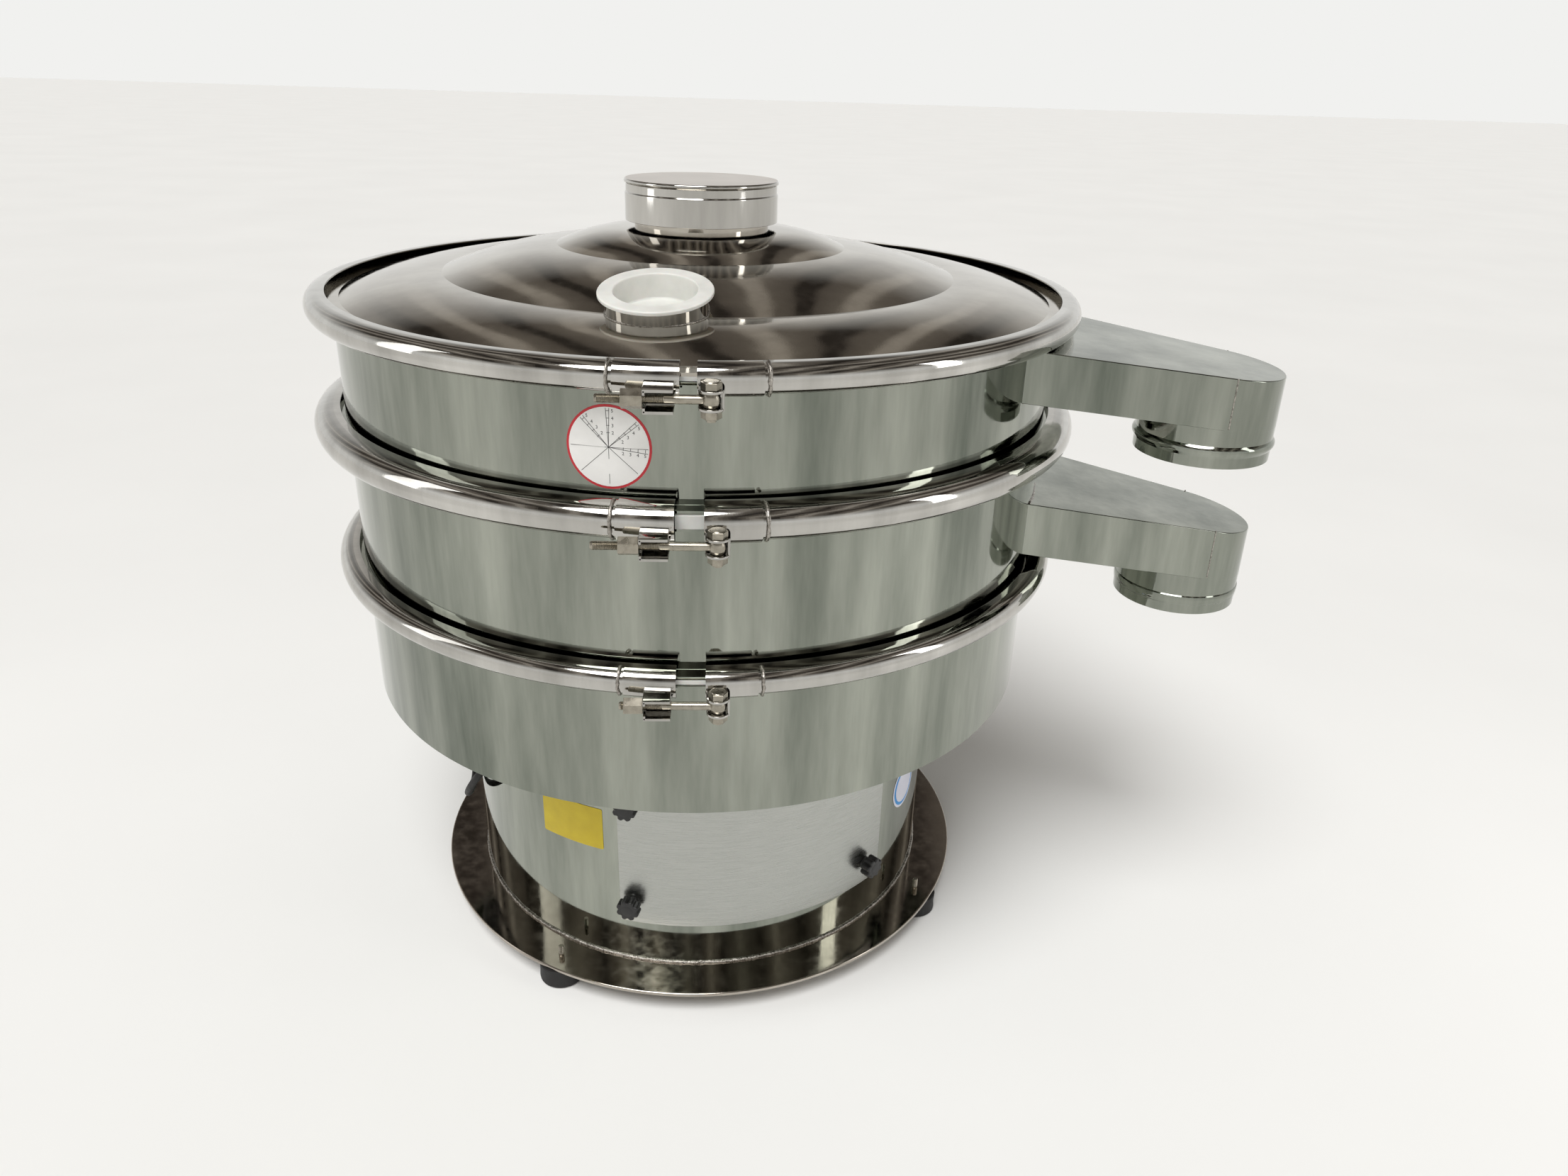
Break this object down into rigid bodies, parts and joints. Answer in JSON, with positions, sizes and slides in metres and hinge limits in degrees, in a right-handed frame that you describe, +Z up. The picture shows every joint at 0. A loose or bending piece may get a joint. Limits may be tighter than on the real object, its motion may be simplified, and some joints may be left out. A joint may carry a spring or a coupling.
{
  "type": "vibrating sieve",
  "caption": "Round vibrating sieve on a sprung drum base, with stacked barrels, a screen, side outlets, split clamp rings and a domed lid with a feed neck.",
  "frame": {"origin": "on the floor, under the middle of the whole object's box seen from above", "axes": "+Z up; the outlets face +X; the clamp closures and the observation port face -Y"},
  "size_m": [1.3676, 1.1086, 1.1028],
  "materials": {
    "polished_steel": "mirror polished stainless steel",
    "brushed_plate": "brushed stainless steel",
    "zinc_steel": "bright machined steel",
    "screen_wire": "woven stainless wire",
    "cast_housing": "painted casting",
    "weight_iron": "plain iron",
    "rubber": "black rubber",
    "silicone": "white silicone",
    "black_plastic": "black moulded plastic"
  },
  "bodies": {
    "base": {"base_flange": "polished_steel", "base_drum": "polished_steel", "foot_1": "rubber", "foot_2": "rubber", "foot_3": "rubber", "foot_4": "rubber", "spring_1": "zinc_steel", "spring_2": "zinc_steel", "spring_3": "zinc_steel", "spring_4": "zinc_steel", "spring_5": "zinc_steel", "spring_6": "zinc_steel", "lead_grommet": "rubber", "lead_connector": "black_plastic", "motor_lead": "rubber"},
    "hand_hole_door": {"hand_hole_door": "brushed_plate"},
    "star_knob_1": {"star_knob_1": "black_plastic"},
    "star_knob_2": {"star_knob_2": "black_plastic"},
    "star_knob_3": {"star_knob_3": "black_plastic"},
    "star_knob_4": {"star_knob_4": "black_plastic"},
    "sieve_stack": {"vibrating_body": "polished_steel", "motor_housing": "cast_housing", "motor_end_shield_top": "cast_housing", "motor_end_shield_bottom": "cast_housing", "motor_bearing_top": "zinc_steel", "motor_bearing_bottom": "zinc_steel", "lower_frame": "polished_steel", "upper_frame": "polished_steel", "body_seal": "silicone", "lid_seal": "silicone", "screen_frame": "polished_steel", "screen_mesh": "screen_wire", "screen_seal": "silicone", "lid": "polished_steel", "clamp_ring_1": "polished_steel", "clamp_ring_2": "polished_steel", "clamp_ring_3": "polished_steel", "closure_pivot_1": "zinc_steel", "closure_pivot_2": "zinc_steel", "closure_pivot_3": "zinc_steel"},
    "rotor": {"rotor_shaft": "zinc_steel", "upper_weight": "weight_iron", "lower_weight": "weight_iron"},
    "lower_phase_weight": {"lower_phase_weight": "weight_iron"},
    "swing_bolt_1": {"swing_bolt_1": "zinc_steel"},
    "swing_bolt_2": {"swing_bolt_2": "zinc_steel"},
    "swing_bolt_3": {"swing_bolt_3": "zinc_steel"},
    "clamp_nut_1": {"clamp_nut_1": "zinc_steel"},
    "clamp_nut_2": {"clamp_nut_2": "zinc_steel"},
    "clamp_nut_3": {"clamp_nut_3": "zinc_steel"},
    "feed_cap": {"feed_cap": "polished_steel"},
    "port_plug": {"port_plug": "silicone"}
  },
  "joints": [
    {"name": "vibration", "type": "slide", "parent": "base", "child": "sieve_stack", "axis": [0, 0, 1], "range_m": [-0.004, 0.004], "stiffness_N_per_m": 296000, "springref_m": 0.00843, "deforming": ["spring_1", "spring_2", "spring_3", "spring_4", "spring_5", "spring_6"]},
    {"name": "rotor_spin", "type": "hinge", "parent": "sieve_stack", "child": "rotor", "pos_m": [-0.14283, 0.01325, 0.4095], "axis": [0, 0, 1], "continuous": true},
    {"name": "lower_weight_phase", "type": "hinge", "parent": "rotor", "child": "lower_phase_weight", "pos_m": [-0.14283, 0.01325, 0.2512], "axis": [0, 0, 1], "range_deg": [-35, 55]},
    {"name": "door_draw", "type": "slide", "parent": "base", "child": "hand_hole_door", "axis": [0.266, -0.964, 0], "range_m": [0, 0.12]},
    {"name": "knob_1_draw", "type": "slide", "parent": "base", "child": "star_knob_1", "axis": [-0.2504, -0.9681, 0], "range_m": [0, 0.157]},
    {"name": "knob_2_draw", "type": "slide", "parent": "base", "child": "star_knob_2", "axis": [0.6776, -0.7355, 0], "range_m": [0, 0.157]},
    {"name": "knob_3_draw", "type": "slide", "parent": "base", "child": "star_knob_3", "axis": [-0.2504, -0.9681, 0], "range_m": [0, 0.157]},
    {"name": "knob_4_draw", "type": "slide", "parent": "base", "child": "star_knob_4", "axis": [0.6776, -0.7355, 0], "range_m": [0, 0.157]},
    {"name": "swing_bolt_1_turn", "type": "hinge", "parent": "sieve_stack", "child": "swing_bolt_1", "pos_m": [-0.11933, -0.53375, 0.9387], "axis": [0, 0, 1], "range_deg": [0, 75]},
    {"name": "swing_bolt_2_turn", "type": "hinge", "parent": "sieve_stack", "child": "swing_bolt_2", "pos_m": [-0.11233, -0.54125, 0.7826], "axis": [0, 0, 1], "range_deg": [0, 75]},
    {"name": "swing_bolt_3_turn", "type": "hinge", "parent": "sieve_stack", "child": "swing_bolt_3", "pos_m": [-0.11133, -0.53375, 0.5835], "axis": [0, 0, 1], "range_deg": [0, 75]},
    {"name": "clamp_nut_1_back_off", "type": "slide", "parent": "swing_bolt_1", "child": "clamp_nut_1", "axis": [-1, 0, 0], "range_m": [0, 0.0107]},
    {"name": "clamp_nut_2_back_off", "type": "slide", "parent": "swing_bolt_2", "child": "clamp_nut_2", "axis": [-1, 0, 0], "range_m": [0, 0.0107]},
    {"name": "clamp_nut_3_back_off", "type": "slide", "parent": "swing_bolt_3", "child": "clamp_nut_3", "axis": [-1, 0, 0], "range_m": [0, 0.0107]},
    {"name": "feed_cap_lift", "type": "slide", "parent": "sieve_stack", "child": "feed_cap", "axis": [0, 0, 1], "range_m": [0, 0.1]},
    {"name": "port_plug_lift", "type": "slide", "parent": "sieve_stack", "child": "port_plug", "axis": [-0.0257, -0.2063, 0.9781], "range_m": [0, 0.06]}
  ],
  "couplings": [
    {"joint": "knob_1_draw", "follows": "door_draw", "ratio": 1.3},
    {"joint": "knob_2_draw", "follows": "door_draw", "ratio": 1.3},
    {"joint": "knob_3_draw", "follows": "door_draw", "ratio": 1.3},
    {"joint": "knob_4_draw", "follows": "door_draw", "ratio": 1.3},
    {"joint": "clamp_nut_1_back_off", "follows": "swing_bolt_1_turn", "m_per_rad": 0.008},
    {"joint": "clamp_nut_2_back_off", "follows": "swing_bolt_2_turn", "m_per_rad": 0.008},
    {"joint": "clamp_nut_3_back_off", "follows": "swing_bolt_3_turn", "m_per_rad": 0.008}
  ]
}
